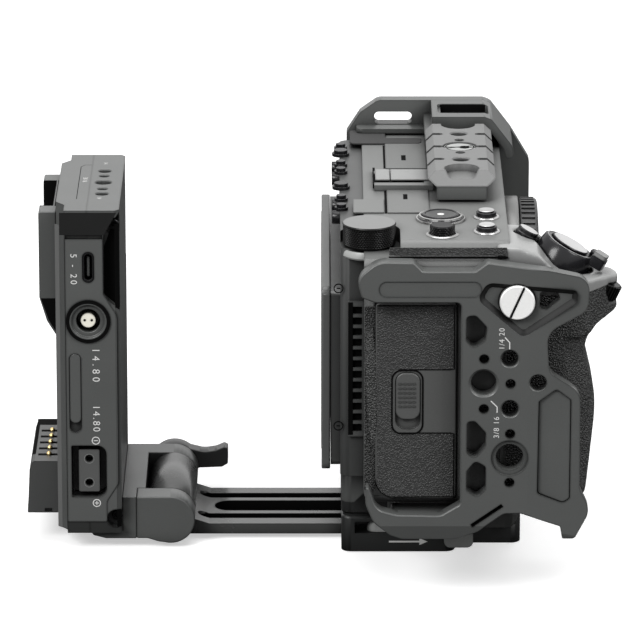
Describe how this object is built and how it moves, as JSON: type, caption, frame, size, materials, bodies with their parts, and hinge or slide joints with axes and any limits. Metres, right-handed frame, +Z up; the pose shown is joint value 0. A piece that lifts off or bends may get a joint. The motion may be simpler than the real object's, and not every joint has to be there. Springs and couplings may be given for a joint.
{
  "type": "camera cage",
  "caption": "Camera cage holding a flat-topped camera, on a quick-release clamp base with a sliding arm, a locking hinge and an upright battery plate.",
  "frame": {"origin": "centre of the clamp base's flat underside", "axes": "+X the way the camera's lens points, +Y the side away from the hand grip, +Z up"},
  "size_m": [0.1927, 0.1583, 0.1275],
  "materials": {
    "base_black": "satin black anodised",
    "lever_grey": "bead blasted, clear anodised",
    "cage_grey": "dark grey anodised, fine grain",
    "knuckle_grey": "glossy dark anodised",
    "steel": "bright steel",
    "dark_steel": "blackened steel",
    "port_black": "moulded black",
    "port_light": "moulded ivory grey",
    "contact_metal": "gold plated",
    "pad_rubber": "matt rubber",
    "camera_shell": "fine matt paint",
    "camera_leather": "leather grain",
    "camera_silver": "satin silver",
    "camera_gloss": "gloss black"
  },
  "bodies": {
    "base": {"clamp_base": "base_black", "clamp_lever_pivot": "dark_steel", "clamp_screw": "dark_steel", "arm_stop_screw": "dark_steel"},
    "clamp_lever": {"clamp_lever": "lever_grey"},
    "arm": {"slide_arm": "knuckle_grey"},
    "battery_plate": {"hinge_bracket": "cage_grey", "hinge_ear": "cage_grey", "hinge_pin": "dark_steel", "lever_nut": "dark_steel", "plate_rear_shell": "cage_grey", "plate_front_shell": "cage_grey", "port_panel": "cage_grey", "plate_screws": "dark_steel", "battery_receiver": "cage_grey", "contact_block": "port_black", "contact_pins": "contact_metal", "usb_shell": "dark_steel", "usb_tongue": "port_black", "round_port_ring": "dark_steel", "round_port_insulator": "port_light", "outlet_insert": "cage_grey"},
    "hinge_lever": {"hinge_lever": "cage_grey"},
    "release_slider": {"release_slider": "cage_grey"},
    "battery_latch": {"battery_latch": "port_black"},
    "cage": {"quick_release_plate": "base_black", "quick_plate_screws": "dark_steel", "cage_base_plate": "cage_grey", "camera_pad": "pad_rubber", "camera_screw": "steel", "cage_grip_plate": "cage_grey", "grip_plate_inset": "cage_grey", "silver_screw": "steel", "cage_far_plate": "cage_grey", "cage_joint_screws": "dark_steel", "cage_top_bridge": "cage_grey", "top_rail": "cage_grey", "top_rail_screw": "steel", "camera_body": "camera_shell", "camera_top_cover": "camera_shell", "camera_rear_housing": "camera_shell", "camera_rear_studs": "camera_shell", "camera_grip": "camera_leather", "camera_vent_grille": "camera_shell", "camera_record_ring": "camera_silver", "camera_accessory_shoe": "dark_steel", "camera_lens_mount": "camera_silver"},
    "screen": {"camera_screen": "camera_shell"},
    "card_door": {"camera_card_door": "camera_shell"},
    "door_latch": {"camera_door_latch": "camera_shell"},
    "rear_dial": {"camera_rear_dial": "camera_shell"},
    "front_dial": {"camera_front_dial": "camera_shell"},
    "control_dial": {"camera_control_dial": "camera_shell"},
    "record_button": {"camera_record_button": "camera_gloss"},
    "top_button_1": {"camera_top_button_1": "camera_gloss"},
    "top_button_2": {"camera_top_button_2": "camera_gloss"},
    "function_button": {"camera_function_button": "camera_gloss"},
    "zoom_collar": {"camera_zoom_collar": "camera_gloss"},
    "shutter_button": {"camera_shutter_button": "camera_gloss"},
    "body_cap": {"camera_body_cap": "port_black"}
  },
  "joints": [
    {"name": "cage_release_slide", "type": "slide", "parent": "base", "child": "cage", "axis": [1, 0, 0], "range_m": [-0.01, 0.03]},
    {"name": "clamp_lever_swing", "type": "hinge", "parent": "base", "child": "clamp_lever", "pos_m": [-0.018, -0.029, 0.008], "axis": [0, 0, -1], "range_deg": [0, 60]},
    {"name": "arm_slide", "type": "slide", "parent": "base", "child": "arm", "axis": [1, 0, 0], "range_m": [-0.03, 0.02]},
    {"name": "plate_tilt", "type": "hinge", "parent": "arm", "child": "battery_plate", "pos_m": [-0.0856, 0, 0.00945], "axis": [0, 1, 0], "range_deg": [-6, 10]},
    {"name": "hinge_lever_turn", "type": "hinge", "parent": "battery_plate", "child": "hinge_lever", "pos_m": [-0.0856, 0.032, 0.00945], "axis": [0, -1, 0], "range_deg": [0, 100]},
    {"name": "release_slider_press", "type": "slide", "parent": "battery_plate", "child": "release_slider", "axis": [0, 0, -1], "range_m": [0, 0.003], "stiffness_N_per_m": 300, "springref_m": -0.001},
    {"name": "battery_latch_draw", "type": "slide", "parent": "battery_plate", "child": "battery_latch", "axis": [1, 0, 0], "range_m": [0, 0.002]},
    {"name": "screen_swing", "type": "hinge", "parent": "cage", "child": "screen", "pos_m": [-0.0346, 0.0566, 0.0666], "axis": [0, 0, -1], "range_deg": [0, 30]},
    {"name": "card_door_swing", "type": "hinge", "parent": "cage", "child": "card_door", "pos_m": [-0.0183, -0.0786, 0.066], "axis": [0, 0, -1], "range_deg": [0, 85]},
    {"name": "door_latch_slide", "type": "slide", "parent": "card_door", "child": "door_latch", "axis": [0, 0, -1], "range_m": [0, 0.003], "stiffness_N_per_m": 200, "springref_m": -0.001},
    {"name": "rear_dial_turn", "type": "hinge", "parent": "cage", "child": "rear_dial", "pos_m": [-0.0208, -0.059, 0.1155], "axis": [0, 0, 1], "continuous": true},
    {"name": "front_dial_turn", "type": "hinge", "parent": "cage", "child": "front_dial", "pos_m": [0.0538, -0.0585, 0.0982], "axis": [0.4226, 0, 0.9063], "continuous": true},
    {"name": "control_dial_turn", "type": "hinge", "parent": "cage", "child": "control_dial", "pos_m": [0.0024, -0.064, 0.1185], "axis": [0, 0, 1], "continuous": true},
    {"name": "record_button_press", "type": "slide", "parent": "cage", "child": "record_button", "axis": [0, 0, -1], "range_m": [0, 0.0008], "stiffness_N_per_m": 800, "springref_m": -0.0004},
    {"name": "top_button_1_press", "type": "slide", "parent": "cage", "child": "top_button_1", "axis": [0, 0, -1], "range_m": [0, 0.0008], "stiffness_N_per_m": 800, "springref_m": -0.0004},
    {"name": "top_button_2_press", "type": "slide", "parent": "cage", "child": "top_button_2", "axis": [0, 0, -1], "range_m": [0, 0.0008], "stiffness_N_per_m": 800, "springref_m": -0.0004},
    {"name": "function_button_press", "type": "slide", "parent": "cage", "child": "function_button", "axis": [-0.4695, 0, -0.8829], "range_m": [0, 0.0008], "stiffness_N_per_m": 800, "springref_m": -0.0004},
    {"name": "zoom_collar_turn", "type": "hinge", "parent": "cage", "child": "zoom_collar", "pos_m": [0.0436, -0.058, 0.1124], "axis": [0.4848, 0, 0.8746], "range_deg": [-20, 20], "stiffness_Nm_per_rad": 0.02},
    {"name": "shutter_button_press", "type": "slide", "parent": "cage", "child": "shutter_button", "axis": [-0.4848, 0, -0.8746], "range_m": [0, 0.0008], "stiffness_N_per_m": 800, "springref_m": -0.0004},
    {"name": "body_cap_turn", "type": "hinge", "parent": "cage", "child": "body_cap", "pos_m": [0.0317, 0, 0.076], "axis": [1, 0, 0], "range_deg": [0, 60]}
  ],
  "couplings": [
    {"joint": "battery_latch_draw", "follows": "release_slider_press", "ratio": 0.6667}
  ]
}
